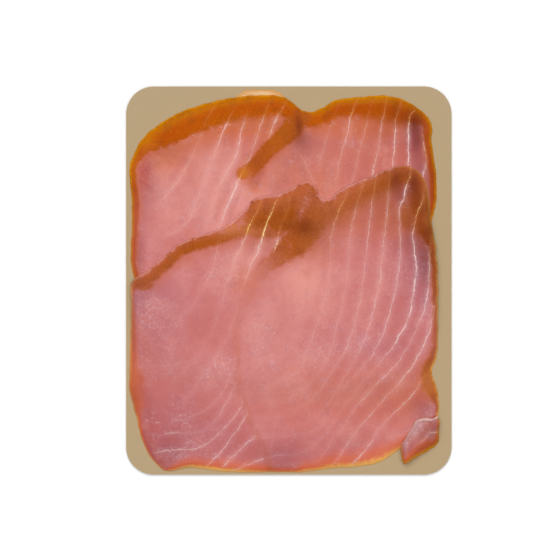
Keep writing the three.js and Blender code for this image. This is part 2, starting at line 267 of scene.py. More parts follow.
LOWER_LEFT_LINES = [
    [(-34.8, 22, 0.1), (-35.6, 12, 0.2), (-45.2, -8.6, 0.1), (-58, -24, 0.05)],
    [(-13.8, 39, 0.3), (-15.4, 34.6, 0.4), (-18.8, 27.8, 0.8), (-21.4, 21, 0.75), (-24.4, 15, 0.4),
     (-30, 0, 0.15), (-40, -29.6, 0.12), (-58, -52, 0.05)],
    [(-4.6, 41.4, 0.4), (-9.2, 31.7, 0.8), (-12.2, 24.4, 1), (-14.4, 16.4, 0.9), (-19.6, 5, 0.35),
     (-27, -20.4, 0.15), (-36, -38, 0.15), (-50, -58, 0.05)],
    [(1.2, 42, 0.35), (-0.8, 35, 0.35), (-5, 23, 0.4), (-6.2, 17, 0.8), (-14, 0, 0.05), (-23, -30, 0.05),
     (-30.4, -50.4, 0.2), (-40, -62.7, 0.15), (-60, -69.6, 0.25), (-68, -68.6, 0.5), (-73.4, -68.1, 0.8)],
    [(-21, -40, 0), (-32.6, -63.4, 0.3), (-41.1, -73.5, 0.15), (-56.3, -74.9, 0.35), (-69, -75.3, 0.4)],
    [(-20, -52, 0), (-24.7, -63.9, 0.35), (-33.9, -74.7, 0.3), (-43.9, -82, 0.35), (-55.8, -83.2, 0.55),
     (-65, -84.5, 0.45)],
    [(-17, -58, 0.1), (-22.5, -68.5, 0.45), (-29.2, -78.6, 0.35), (-34.8, -86, 0.5), (-39.5, -90, 0.4)],
    [(-13, -72, 0.2), (-17.9, -77.5, 0.5), (-26.5, -85.3, 0.6), (-31.5, -91, 0.5)],
    [(-9, -84, 0.2), (-12.9, -87.6, 0.6), (-20.2, -90.2, 0.6), (-26.5, -93, 0.4)],
]
LOWER_RIGHT_LINES = [
    [(30.5, 48, 0.5), (22.9, 30.2, 0.45), (20.8, 20, 0.25), (20.4, 6, 0.15), (16.9, -10.8, 0.12),
     (11, -28.7, 0.15), (6.2, -41.8, 0.1), (-8, -52, 0.02), (-24, -54, 0)],
    [(37.5, 50, 0.3), (31.3, 28.6, 0.4), (29.7, 15, 0.25), (28.4, 0, 0.15), (26.5, -10.8, 0.15),
     (22.6, -26, 0.15), (18.4, -40, 0.15), (0, -58, 0.02), (-22, -62, 0)],
    [(42.8, 52, 0.3), (39.6, 28.6, 0.4), (37.6, 9, 0.3), (34.3, -12, 0.3), (29.5, -29.8, 0.3),
     (22.9, -42, 0.25), (6, -63, 0.04), (-20, -69, 0)],
    [(49.5, 54, 0.3), (48.6, 38, 0.5), (46.5, 18, 0.45), (44.3, -1.7, 0.45), (38.4, -25.1, 0.35),
     (31.3, -40.6, 0.25), (12, -67, 0.04), (-18, -73, 0.02)],
    [(59.8, 55.4, 0.6), (59.8, 50.9, 0.6), (57.8, 47.5, 0.6), (57, 43.5, 0.85), (56.6, 39.6, 0.7),
     (54.4, 37, 0.6), (54.4, 32, 0.6), (54.5, 24, 0.5), (54.5, 9.6, 0.6), (49.2, -16.7, 0.5),
     (41.4, -36, 0.35), (26.5, -53, 0.06), (14, -72.6, 0.1), (-3.4, -75.9, 0.15), (-17.5, -77.4, 0.15)],
    [(67.4, 46, 0.5), (65.4, 38.8, 0.65), (62.4, 30.6, 0.55), (61, 25.6, 0.6), (61.6, 15, 0.75),
     (62.4, 6, 0.9), (58.6, -18, 0.8), (52, -31, 0.6), (46, -38.5, 0.2), (37.2, -48.6, 0.12),
     (22.9, -67.6, 0.06), (9.4, -83.1, 0.15), (-12, -87, 0.2)],
    [(69.6, 20, 0.2), (69.2, 4, 0.6), (67.7, -8.4, 0.6), (62.3, -25.1, 0.3), (51.5, -42.4, 0.4),
     (38.4, -55.5, 0.3), (28.9, -68.3, 0.15), (16.3, -86.2, 0.15)],
    [(72, -6, 0.2), (71.2, -14.4, 0.4), (67, -29.8, 0.75), (59.9, -43, 0.5), (44.3, -61.1, 0.35),
     (32.4, -74.9, 0.3), (23.5, -89, 0.4)],
    [(71.6, -42.5, 0.2), (66.5, -48, 0.5), (59.3, -58.2, 0.5), (48, -68.9, 0.4), (38.4, -82, 0.45),
     (31.6, -90, 0.4)],
]
# On the rolled corner, the first line is a painted highlight along the top edge of the fold; the second is a
# muscle line.
CORNER_LINES = [
    [(73.6, -66.6, 1), (70.6, -68.2, 1), (66.4, -68.3, 0.9), (63, -68.8, 0.4), (60.5, -73, 0.1)],
    [(73.6, -74.4, 0.4), (69.6, -74.8, 0.7), (67.6, -77, 0.5), (62, -81, 0.2), (59, -85, 0)],
]
SCRAP_LINES = [
    [(-4, 90.6, 0.3), (-13, 91.2, 0.5), (-22, 91, 0.3)],
]

# Soft patches of each tint: the middle, the two radii, and how much of the tint there is.
UPPER_TINTS = {
    "salmon": [
        (28, 63, 25, 17, 0.8), (-58, 62, 12, 7, 0.5), (16, 42, 5, 6, 0.6), (-13.2, 50, 1.8, 6, 0.95),
    ],
    "pale": [
        (-31, 45, 24, 24, 0.88), (-52, 56, 16, 16, 0.2), (-58, 32, 12, 10, 0.4), (-36, 60, 18, 10, 0.35),
    ],
    "glow": [
        (-22.4, 52.6, 3.6, 3.6, 0.85), (-70, 69, 4.4, 6, 0.7), (-76, 57, 2.4, 9, 0.5),
        (-46, 84.4, 3, 2, 0.5), (-71.6, 50, 2.8, 8, 0.3),
    ],
    "mauve": [
        (-72, 34, 4, 16, 0.2), (-2, 56, 11, 12, 0.12), (8, 69, 5, 6, 0.2), (62.6, 69, 3.6, 8, 0.75),
        (65, 57, 4.4, 8, 0.4), (68.2, 44, 3.4, 10, 0.7), (2, 67.6, 4, 4, 0.3),
    ],
    "dusk": [
        (-69, 44, 7, 8, 0.1), (20, 47, 8, 6, 0.06), (-74.4, 12, 2.8, 12, 0.1), (71.4, 56, 2.4, 16, 0.25),
        (-1, 60, 12, 13, 0.1), (-15, 58, 2.4, 4, 0.12), (5, 76.4, 2.2, 5.4, 0.6),
        (4.6, 69, 4.4, 4.4, 0.26), (-62, 61, 9, 7, 0.12), (62, 68, 4, 9, 0.2), (8, 68, 5, 6, 0.2),
        (36, 70, 12, 8, 0.05), (54, 81, 11, 9, 0.32), (32, 86, 12, 6, 0.1), (-58, 64, 12, 6, 0.08),
        (61.8, 77.6, 4.4, 6.6, 0.74), (63, 69, 3.2, 5.5, 0.4), (65, 56, 5, 12, 0.28),
        (68.2, 43, 3.2, 10, 0.2), (52.6, 86, 1.6, 3.4, 0.3), (-17.4, 48.6, 3, 3.6, 0.12),
        (-5.6, 46, 4.4, 4, 0.14),
    ],
    "frost_and_sheen": [
        (-66, 62, 5, 5, 0.3), (-64, 40, 9, 6, 0.3), (-45, 36, 8, 8, 0.25), (-28, 48, 8, 12, 0.3),
        (-70, 16, 6, 10, 0.35), (5, 58, 12, 10, 0.2),
    ],
    "amber": [
        (-26, 76, 26, 8, 0.95), (-52, 68, 14, 7, 0.5), (-8, 74, 10, 8, 0.6), (20, 46, 9, 6, 0.45),
        (0, 52, 18, 9, 0.55), (0, 65, 9, 8, 0.45), (-11, 78, 9, 5, 0.7), (-62, 59, 9, 8, 0.6),
        (50, 62, 12, 12, 0.4), (-60, 57, 10, 8, 0.12), (15, 78, 7, 5, 0.5), (34, 76, 18, 7, 0.8),
        (52, 73, 7, 6, 0.4), (-16.6, 47, 4, 4.6, 0.8), (-20, 60.5, 4, 4, 0.35), (46, 82, 5, 4, 0.4),
    ],
    "rose": [
        (-72.6, 54, 4, 12, 0.8), (-69, 44, 6, 8, 0.35), (-74, 14, 3.2, 16, 0.85), (70.4, 44, 2, 6, 0.5),
        (-16, 54, 4, 6, 0.9), (4.4, 76, 3, 7, 0.9), (-70.4, 53, 3.6, 7, 0.7), (52, 66, 12, 15, 0.35),
        (62, 72, 5, 9, 0.7),
    ],
    "smoke": [(-22.6, 52.6, 3.5, 3.4, 1), (66, 80, 5, 4, 0.6), (57, 78.5, 5, 3.4, 0.5)],
}
LOWER_TINTS = {
    "salmon": [(46, -56, 30, 15, 0.85), (8, -56, 24, 14, 0.5), (-25.2, -41, 1.6, 20, 0.5)],
    "pale": [
        (-23, 11, 11, 12, 0.8), (8, 0, 14, 14, 0.95), (-12, -27, 10, 20, 0.55), (-26.4, 31, 4.6, 4, 0.95),
        (-12.6, 16.6, 7, 5, 0.7),
    ],
    "glow": [
        (-76.5, -50, 4, 12, 0.5), (-28, 27.4, 6, 4, 0.9), (66, -52, 5, 9, 0.35),
        (-20, 24.4, 4.4, 3.4, 0.45),
    ],
    "mauve": [
        (-63, -15, 14, 18, 0.45), (-12, -27, 9, 18, 0.1), (57, -3, 12, 26, 0.25), (65.5, 8, 6, 14, 0.85),
        (46, -33, 18, 8, 0.3), (-56, -72, 19, 16, 0.46), (-62, -81, 6, 6, 0.5), (-4, -85, 14, 7, 0.45),
        (-30, -76, 16, 12, 0.25), (-73, -10, 5, 9, 0.5), (56, 44, 5, 6, 0.6), (-59.6, -83.6, 7, 7, 0.55),
        (66, -5, 6, 12, 0.5), (68, -64, 7, 7, 0.6),
    ],
    "dusk": [
        (67.6, 10, 4.4, 13, 0.45), (-4, -86, 14, 6, 0.18), (-75, -56, 5, 12, 0.3), (-74, -8, 4, 9, 0.14),
        (54, 52.4, 7, 4, 0.3), (54.6, 43.6, 4, 5, 0.35), (68, 34, 4, 5, 0.35), (50, 29, 9, 7, 0.14),
        (66, 15, 7, 11, 0.24), (18, 29, 8, 9, 0.12), (61.2, 48.4, 3.4, 6, 0.66), (-71, -2, 6, 3.4, 0.2),
        (7.8, 26, 3.4, 3.4, 0.2), (-13, 19, 9, 4.6, 0.16), (14, 17, 9, 7, 0.12), (-57, -87, 9, 5, 0.16),
        (-60, -83, 6, 6, 0.1), (-54, -80, 12, 8, 0.08), (7.4, 26.4, 6.4, 5.2, 0.46), (-6, 31, 9, 7, 0.18),
        (52.4, 48.4, 3.2, 4.8, 0.48), (63.6, 39, 6, 9, 0.52), (68.4, 24, 3.4, 4.6, 0.55),
        (61, 26, 4, 6, 0.25), (46, 48, 6, 6, 0.14), (48, 38, 10, 9, 0.28), (32, 28, 12, 9, 0.08),
        (59, 19, 8, 7, 0.26), (68, -63, 7, 7, 0.2), (62, -58, 8, 12, 0.1), (30, -80, 9, 7, 0.1),
        (16.4, 25, 5, 5, 0.15), (53, 28, 5, 8, 0.08), (-50, 9, 5, 4, 0.04),
    ],
    # The four small frost patches by the top of the crease, near (8, 37), are a painted sheen on the wet
    # surface; the others are the pale veil.
    "frost_and_sheen": [
        (68.6, -64.6, 5, 4, 0.5), (8.4, 39, 1.9, 2.8, 0.6), (9.6, 39.5, 4, 5, 0.35),
        (5.4, 33.6, 1.8, 3, 0.6), (-13, 17.6, 8, 4, 0.15), (6.6, 36, 2.4, 5, 0.6),
        (-69, -14, 6, 12, 0.45), (-66, -30, 8, 7, 0.25), (-62, -42, 14, 5, 0.35), (-34, -42, 14, 6, 0.4),
        (-28, 4, 8, 8, 0.35), (-12, -30, 7, 16, 0.45), (14, -36, 10, 8, 0.35), (36, -30, 14, 7, 0.3),
        (68, -12, 3.6, 12, 0.45), (56, 2, 8, 12, 0.25), (66, 8, 5, 10, 0.4), (-54, -86.8, 5.4, 1.8, 0.9),
        (-50, -79, 3, 2.4, 0.5), (-58, -84, 10, 4, 0.15), (-40, -84, 10, 6, 0.3),
        (-52, -68, 14, 12, 0.25), (24, 22, 10, 6, 0.25),
    ],
    "amber": [
        (49, 29, 10, 8, 0.5), (20, 30, 8, 12, 0.4), (-13, 20, 9, 4, 0.5), (14, 17, 9, 8, 0.5),
        (48, 37, 9, 10, 0.8), (30, 28, 12, 9, 0.45), (60, -56, 9, 12, 0.35), (-71, -20, 4, 22, 0.25),
        (-22, 0, 7, 7, 0.45), (69, -52, 4, 12, 0.5), (17, 25, 5, 5, 0.5), (53, 23.6, 4, 4, 0.3),
        (-50, 9, 5, 4, 0.25), (67, -63, 6, 4.4, 0.4), (-31, 25, 4, 2.6, 0.7),
    ],
    "rose": [
        (-57, -70, 19, 18, 0.5), (-71, -74, 5, 14, 0.95), (-63.6, -89, 6, 5, 0.95), (-5, -92, 9, 3, 0.8),
        (6, -82, 40, 9, 0.2), (-68, -30, 10, 26, 0.4), (60.6, 46.6, 4, 6, 0.9), (52.4, 48.6, 4, 6, 0.9),
        (-72, -76, 2.4, 6, 0.9), (-68.8, -82.6, 2.6, 5, 0.95), (-64.6, -89, 3, 4, 0.95),
        (-34, -84, 18, 8, 0.3),
    ],
    "smoke": [
        (-13.2, 24.4, 9, 4.2, 0.9), (-71.5, -2.2, 6.4, 3.4, 0.85), (66, 44, 5, 8, 0.9),
        (57.4, 31, 3.4, 8, 0.75), (65, 30, 5, 9, 0.7), (-6, 24.6, 5, 3.4, 0.65),
    ],
}
# On the rolled corner, the pale and frost patches are a painted highlight on the rolled left side below the
# fold; the other tints are its own colours.
CORNER_TINTS = {
    "pale": [(63.2, -71, 3.6, 2.8, 0.95), (61.4, -75, 1.7, 2.6, 0.8), (57, -80.2, 1.5, 3.4, 0.9)],
    "glow": [(58.6, -88.4, 5, 3, 0.7)],
    "mauve": [(69, -74.4, 6.6, 6.4, 0.85)],
    "dusk": [(69, -73, 6, 6, 0.12)],
    "frost_and_sheen": [(62.8, -72, 3.6, 3.4, 1), (60, -75.6, 2, 3, 0.6), (57, -80, 1.7, 3.6, 1)],
    "rose": [(62, -83.4, 8, 3.4, 0.9)],
}
SCRAP_TINTS = {
    "pale": [(-16, 92.6, 9, 2, 0.9)],
    "frost_and_sheen": [(-18, 93, 6, 1.4, 0.6)],
}

# Colours of the fish as they show under the studio light, in levels from 0 to 255: flesh and its tints,
# muscle lines, then the brown rim and crease. The frost tint is also a painted sheen, and the crust gold is
# also a painted edge light. The other sheets change some of them.
SMOKED_PALETTE = {
    "flesh": (212, 129, 126), "salmon": (207, 117, 98), "pale": (232, 155, 143), "deep": (190, 98, 90),
    "glow": (220, 100, 52), "mauve": (172, 104, 122), "dusk": (108, 46, 40), "umber": (104, 42, 8),
    "frost_and_sheen": (226, 182, 188), "amber": (217, 118, 70), "rose": (176, 84, 84), "line": (240, 206, 200),
    "golden_line": (222, 140, 62), "bright_line": (252, 214, 130), "rim_gold": (198, 118, 0),
    "rim_edge": (196, 100, 0), "rim_brown": (184, 78, 0), "rim_inner": (178, 76, 4),
    "crust_gold_and_edge_light": (236, 160, 20), "warm_halo": (202, 106, 68), "rim_light": (212, 124, 0),
    "film_and_highlight": (204, 122, 108), "crease": (178, 86, 38),
}
LOWER_PALETTE = dict(SMOKED_PALETTE,
    rim_edge=(188, 98, 58), rim_brown=(172, 84, 30), rim_inner=(180, 92, 46), rim_light=(216, 136, 88),
    warm_halo=(200, 110, 88), crust_gold_and_edge_light=(250, 188, 100), crease=(172, 84, 32))
# On the rolled corner, the film and pale colours are painted highlight colours, the lilac white of light on
# the roll; its flesh and mauve are its own.
CORNER_PALETTE = dict(SMOKED_PALETTE,
    flesh=(192, 112, 102), mauve=(164, 100, 94), film_and_highlight=(222, 172, 168), pale=(212, 166, 164))
SCRAP_PALETTE = dict(SMOKED_PALETTE,
    flesh=(216, 156, 100), pale=(220, 174, 116), rim_edge=(206, 138, 70), rim_brown=(210, 134, 86),
    rim_inner=(216, 148, 98), warm_halo=(214, 154, 100), glow=(216, 154, 92), deep=(210, 140, 88),
    crust_gold_and_edge_light=(224, 178, 112), frost_and_sheen=(228, 190, 140), mauve=(212, 150, 110), line=(236, 206, 160))

# Colours of the card in the same levels, and the two base tones of the floor.
CARD_COLOURS = [(183, 159, 122), (186, 162, 126), (179, 154, 118)]
FLOOR_TONES = (0.89, 0.91)


# Curves and distances in plan.

def smooth_curve(corners, closed, steps):
    """Points at even steps along a centripetal Catmull-Rom curve. Columns past x and y are carried along."""
    corners = np.asarray(corners, dtype=float)
    if closed:
        padded = np.vstack([corners[-1:], corners, corners[:2]])
    else:
        padded = np.vstack([2 * corners[:1] - corners[1:2], corners, 2 * corners[-1:] - corners[-2:-1]])
    fine = []
    shares = np.linspace(0, 1, CURVE_SAMPLES, endpoint=False)[:, None]
    for before, start, end, after in zip(padded, padded[1:], padded[2:], padded[3:]):
        gaps = [max(np.linalg.norm((b - a)[:2]), 1e-6) ** 0.5
                for a, b in ((before, start), (start, end), (end, after))]
        leave = (start - before) / gaps[0] - (end - before) / (gaps[0] + gaps[1]) + (end - start) / gaps[1]
        arrive = (end - start) / gaps[1] - (after - start) / (gaps[1] + gaps[2]) + (after - end) / gaps[2]
        leave *= gaps[1]
        arrive *= gaps[1]
        square = -3 * start + 3 * end - 2 * leave - arrive
        cube = 2 * start - 2 * end + leave + arrive
        fine.append(start + leave * shares + square * shares ** 2 + cube * shares ** 3)
    fine.append(padded[-2:-1])
    fine = np.vstack(fine)
    lengths = length_along(fine)
    marks = np.linspace(0, lengths[-1], steps, endpoint=not closed)
    return np.column_stack([np.interp(marks, lengths, column) for column in fine.T])


def length_along(line):
    """The length of a line up to each of its points, in plan."""
    return np.concatenate([[0], np.cumsum(np.linalg.norm(np.diff(line[:, :2], axis=0), axis=1))])


def nearest_on(points, line, closed=False):
    """Distance from each point to a line, the side it lies on, and how far along the line it is nearest."""
    starts = line[:, :2]
    ends = np.roll(starts, -1, axis=0)
    if not closed:
        starts, ends = starts[:-1], ends[:-1]
    along = ends - starts
    squares = np.maximum((along ** 2).sum(axis=1), 1e-9)
    found = np.full(len(points), np.inf)
    side = np.zeros(len(points))
    place = np.zeros(len(points))
    for i, (start, step, square) in enumerate(zip(starts, along, squares)):
        offset = points - start
        share = np.clip(offset @ step / square, 0, 1)
        distance = np.hypot(*(offset - share[:, None] * step).T)
        nearer = distance < found
        found[nearer] = distance[nearer]
        side[nearer] = np.sign(step[0] * offset[nearer, 1] - step[1] * offset[nearer, 0])
        place[nearer] = i + share[nearer]
    return found, side, place


def within(points, outline):
    """True for the points inside a closed outline."""
    inside = np.zeros(len(points), dtype=bool)
    for start, end in zip(np.roll(outline, 1, axis=0), outline):
        crosses = (start[1] > points[:, 1]) != (end[1] > points[:, 1])
        rise = end[1] - start[1] if abs(end[1] - start[1]) > 1e-9 else 1e-9
        reach = (end[0] - start[0]) * (points[:, 1] - start[1]) / rise + start[0]
        inside ^= crosses & (points[:, 0] < reach)
    return inside


def smoothstep(share):
    share = np.clip(share, 0, 1)
    return share * share * (3 - 2 * share)


def ripple(points, longest, seed):
    """Slow uneven relief between about -1 and 1: bent waves of several lengths in random directions."""
    draw = np.random.default_rng(seed)
    total = np.zeros(len(points))
    weights = 0
    for length in np.geomspace(longest, longest / RIPPLE_SPREAD, RIPPLE_WAVES):
        turn, shift = draw.uniform(0, 2 * math.pi, 2)
        bend = draw.uniform(0, 2 * math.pi)
        across = points[:, 0] * math.cos(turn) + points[:, 1] * math.sin(turn)
        aside = points[:, 1] * math.cos(turn) - points[:, 0] * math.sin(turn)
        swing = RIPPLE_SWING * np.sin(2 * math.pi * aside / (RIPPLE_SWING_LENGTH * length) + bend)
        total += length * np.sin(2 * math.pi * across / length + shift + swing)
        weights += length
    return total / weights * RIPPLE_GAIN


# The sheets of fish.

def uneven_outline(corners, steps, seed):
    """The smooth outline with the small irregularities of a cut edge."""
    outline = smooth_curve(corners, True, steps)
    ahead = np.roll(outline, -1, axis=0) - np.roll(outline, 1, axis=0)
    normals = np.column_stack([-ahead[:, 1], ahead[:, 0]]) / np.linalg.norm(ahead, axis=1)[:, None]
    return outline + CUT_WAVE_HEIGHT * ripple(outline, CUT_WAVE_LENGTH, seed)[:, None] * normals


def sliced_thickness(crease, seed):
    crease = np.array(crease, dtype=float)

    def thickness(points):
        x, y = points.T
        wave = np.sin(2 * math.pi * x / WAVE_LENGTH_X) * np.cos(2 * math.pi * y / WAVE_LENGTH_Y)
        distance, _, place = nearest_on(points, crease)
        passed = place / (len(crease) - 1)
        valley = CREASE_DEPTH * (1 - passed) * np.exp(-(distance / CREASE_HALF_WIDTH) ** 2)
        relief = RELIEF_HEIGHT * ripple(points, RELIEF_LENGTH, seed)
        return SLICE_THICKNESS * (1 + THICKNESS_WAVE * wave) - valley + relief

    return thickness


def rolled_thickness(points):
    distance, _, _ = nearest_on(points, np.array(CORNER_ROLL, dtype=float))
    return CORNER_THICKNESS + ROLL_HEIGHT * np.exp(-(distance / ROLL_WIDTH) ** 2)


def scrap_thickness(points):
    return np.full(len(points), float(SCRAP_THICKNESS))


def on_the_card(points):
    return np.full(len(points), float(CARD_THICKNESS))


def lying_over(outline, underside, thickness, run):
    """The underside of a sheet that lies on the card and over another sheet, and slopes down past it."""
    def height(points):
        distance, _, _ = nearest_on(points, outline, closed=True)
        distance[within(points, outline)] = 0
        rise = underside(points) + thickness(points) + LAYER_GAP - CARD_THICKNESS
        return CARD_THICKNESS + rise * (1 - smoothstep((distance - DRAPE_MARGIN) / run))

    return height


def level_at(inset):
    """How much of its thickness a sheet has at this distance from its edge."""
    return 1 - (1 - EDGE_TOP_LEVEL) * np.exp(-np.asarray(inset) / EDGE_THINNING)


def top_of(outline, underside, thickness):
    """The top of a sheet with its thin edge, and the card past it."""
    def height(points):
        distance, _, _ = nearest_on(points, outline, closed=True)
        top = underside(points) + level_at(distance) * thickness(points)
        return np.where(within(points, outline), top, CARD_THICKNESS)

    return height


def sheet_mesh(name, outline, hub, underside, thickness, step, below):
    """A closed mesh between underside and top, in rings that follow the outline and close in on the hub.

    Near its edge it droops towards what lies below. The outlines run clockwise, so each face takes the
    points of a ring backwards, which turns it outwards.
    """
    hub = np.array(hub, dtype=float)
    reach = np.linalg.norm(outline - hub, axis=1)[:, None]
    last = EDGE_INSETS[-1]
    inner = max(int((reach.max() - last) / step), 2)
    plans = [outline + (hub - outline) * (inset / reach) for inset in EDGE_INSETS]
    plans += [outline + (hub - outline) * (last / reach + share * (1 - last / reach))
              for share in np.linspace(0, 1, inner, endpoint=False)[1:]]
    insets = EDGE_INSETS + [last + 1] * (inner - 1)
    edge_rings = len(EDGE_INSETS)
    bottom_kept = [*range(edge_rings), *range(edge_rings, len(plans), TOP_RINGS_PER_BOTTOM_RING)]

    def ring(plan, inset, level):
        base = underside(plan)
        if inset <= last:
            room = np.maximum(base - below(plan) - EDGE_CLEARANCE, 0)
            base = base - np.minimum(room, EDGE_DROOP * math.exp(-inset))
        return np.column_stack([plan, base + level * thickness(plan)])

    rings = [ring(plan, inset, level_at(inset)) for plan, inset in zip(plans, insets)]
    rings += [ring(plans[k], insets[k], 0) for k in bottom_kept]
    vertices = np.vstack(rings + [ring(hub[None], last + 1, 1), ring(hub[None], last + 1, 0)])

    count = len(outline)
    tops = [k * count for k in range(len(plans))]
    bottoms = [(len(plans) + k) * count for k in range(len(bottom_kept))]
    here = np.arange(count)
    ahead = (here - 1) % count

    def band(outer, inward):
        return np.column_stack([outer + here, outer + ahead, inward + ahead, inward + here]).tolist()

    faces = []
    for outer, inward in zip(tops, tops[1:]):
        faces += band(outer, inward)
    for outer, inward in zip(bottoms, bottoms[1:]):
        faces += band(inward, outer)
    faces += band(bottoms[0], tops[0])
    top_hub = len(vertices) - 2
    faces += [[tops[-1] + i, tops[-1] + (i - 1) % count, top_hub] for i in range(count)]
    faces += [[bottoms[-1] + (i - 1) % count, bottoms[-1] + i, top_hub + 1] for i in range(count)]

    mesh = bpy.data.meshes.new(name)
    mesh.from_pydata((vertices * MM).tolist(), [], faces)
    mesh.polygons.foreach_set("use_smooth", [True] * len(mesh.polygons))
    mesh.update()
    return mesh, vertices[:, :2]


def line_family(points, guides):
    """Phase, spacing and strength of a family of muscle lines, and places across and along them.

    A line lies where the phase is whole.
    """
    signed, strengths, alongs = [], [], []
    for guide in guides:
        line = smooth_curve(guide, False, LINE_SAMPLES * len(guide))
        start, end = line[0] - line[1], line[-1] - line[-2]
        head = line[0] + start / np.linalg.norm(start[:2]) * LINE_RUN_ON
        tail = line[-1] + end / np.linalg.norm(end[:2]) * LINE_RUN_ON
        extended = np.vstack([head, line, tail])
        distance, side, place = nearest_on(points, extended)
        fades = np.concatenate([[0], line[:, 2], [0]])
        beyond = np.minimum(place - 1, 0) + np.minimum(len(line) - place, 0)
        ended = np.clip(1 + LINE_END_FALL * beyond, 0, 1)
        strength = np.interp(place, np.arange(len(fades)), fades) * ended
        reached = np.interp(place, np.arange(len(extended)), length_along(extended))
        alongs.append(reached - extended[0, 1])
        signed.append(distance * side)
        strengths.append(strength)
    signed, strengths, alongs = np.array(signed), np.array(strengths), np.array(alongs)
    passed = (signed > 0).sum(axis=0)
    rows = np.arange(len(points))
    lower = np.clip(passed - 1, 0, None)
    upper = np.clip(passed, None, len(guides) - 1)
    before, after = np.abs(signed[lower, rows]), np.abs(signed[upper, rows])
    strong_before, strong_after = strengths[lower, rows], strengths[upper, rows]
    first = passed == 0
    last = passed == len(guides)
    before[first] = USUAL_LINE_GAP - np.minimum(after[first], USUAL_LINE_GAP)
    after[last] = USUAL_LINE_GAP - np.minimum(before[last], USUAL_LINE_GAP)
    strong_before[first] = 0
    strong_after[last] = 0
    gap = np.maximum(before + after, LEAST_LINE_GAP)
    share = before / gap
    strength = strong_before + (strong_after - strong_before) * smoothstep(share)
    along = alongs[lower, rows] * (1 - share) + alongs[upper, rows] * share
    phase = passed + share
    fibres = np.column_stack([phase * USUAL_LINE_GAP, along, 0 * along])
    return np.column_stack([phase, gap, strength]), fibres


def edge_field(points, outline, rim):
    """Distance from the edge, the rim's width and how smoked it is, then its gold, film and softness."""
    stops = np.array([stop + PLAIN_STOP[len(stop) - 5:] for stop in rim], dtype=float)
    _, _, places = nearest_on(stops[:, :2], outline, closed=True)
    order = np.argsort(places)
    places, stops = places[order], stops[order]
    count = len(outline)
    places = np.concatenate([[places[-1] - count], places, [places[0] + count]])
    stops = np.vstack([stops[-1:], stops, stops[:1]])
    distance, _, place = nearest_on(points, outline, closed=True)
    width, smoke, gold, film_and_highlight, softness = (np.interp(place, places, stops[:, k]) for k in range(2, 7))
    return np.column_stack([distance, width, smoke]), np.column_stack([gold, film_and_highlight, softness])


def middle_field(points, smoke, parting):
    """How far past the parting a point lies, and its share and strength in the smoked crease."""
    if not smoke:
        return np.tile(NO_CREASE, (len(points), 1))
    line = smooth_curve(smoke, False, SMOKE_SAMPLES * len(smoke))
    distance, _, place = nearest_on(points, line)
    half, strength = (np.interp(place, np.arange(len(line)), line[:, k]) for k in (2, 3))
    apart, side, _ = nearest_on(points, smooth_curve(parting, False, LINE_SAMPLES * len(parting)))
    return np.column_stack([apart * side, distance / half, strength])


def tint_field(points, tints, names):
    """How much of each named tint lies at each point."""
    columns = []
    for name in names:
        clear = np.ones(len(points))
        for x, y, radius_x, radius_y, amount in tints.get(name, ()):
            spread = ((points[:, 0] - x) / radius_x) ** 2 + ((points[:, 1] - y) / radius_y) ** 2
            clear *= 1 - amount * np.exp(-spread)
        columns.append(1 - clear)
    return np.column_stack(columns)


def fish_sheet(name, outline, hub, underside, thickness, step, rim, left_lines, tints,
               right_lines=None, smoke=None, parting=None, below=on_the_card):
    """One sheet of fish, with the fields on its points that the fish material reads."""
    mesh, points = sheet_mesh(name, outline, hub, underside, thickness, step, below)
    edge, rim_tone = edge_field(points, outline, rim)
    left, left_fibres = line_family(points, left_lines)
    right, right_fibres = line_family(points, right_lines) if right_lines else (left, left_fibres)
    for field, values in (
        ("edge", edge), ("rim_tone", rim_tone), ("middle", middle_field(points, smoke, parting)),
        ("lines_left", left), ("lines_right", right),
        ("fibres_left", left_fibres), ("fibres_right", right_fibres),
        ("warm", tint_field(points, tints, ("salmon", "pale", "glow"))),
        ("cool", tint_field(points, tints, ("mauve", "dusk", "frost_and_sheen"))),
        ("smoky", tint_field(points, tints, ("amber", "rose", "smoke"))),
    ):
        attribute = mesh.attributes.new(field, "FLOAT_VECTOR", "POINT")
        attribute.data.foreach_set("vector", np.ascontiguousarray(values, dtype=np.float32).ravel())
    piece = bpy.data.objects.new(name, mesh)
    bpy.context.collection.objects.link(piece)
    return piece


# Shader and geometry graphs.

class Socket:
    """A number or vector inside a node graph, on which Python expressions add Math nodes."""

    def __init__(self, graph, link):
        self.graph = graph
        self.link = link

    def math(self, operation, *values):
        return self.graph.node("ShaderNodeMath", {"operation": operation}, dict(enumerate(values)))

    def __add__(self, other):
        return self.math("ADD", self, other)

    def __radd__(self, other):
        return self.math("ADD", other, self)

    def __sub__(self, other):
        return self.math("SUBTRACT", self, other)

    def __rsub__(self, other):
        return self.math("SUBTRACT", other, self)

    def __mul__(self, other):
        return self.math("MULTIPLY", self, other)

    def __rmul__(self, other):
        return self.math("MULTIPLY", other, self)

    def __truediv__(self, other):
        return self.math("DIVIDE", self, other)

    def __abs__(self):
        return self.math("ABSOLUTE", self)

    def clipped(self):
        return self.math("MINIMUM", self.math("MAXIMUM", self, 0.0), 1.0)

    def larger(self, other):
        return self.math("MAXIMUM", self, other)

    def fraction(self):
        return self.math("FRACT", self)

    def smooth(self, low, high):
        """0 below low, 1 above high, and a smooth step between them."""
        return self.graph.node("ShaderNodeMapRange", {"interpolation_type": "SMOOTHSTEP", "clamp": True}, {
            "Value": self, "From Min": low, "From Max": high, "To Min": 0.0, "To Max": 1.0})

    def part(self, axis):
        split = self.graph.node("ShaderNodeSeparateXYZ", {}, {"Vector": self})
        return Socket(self.graph, split.link.node.outputs[axis])


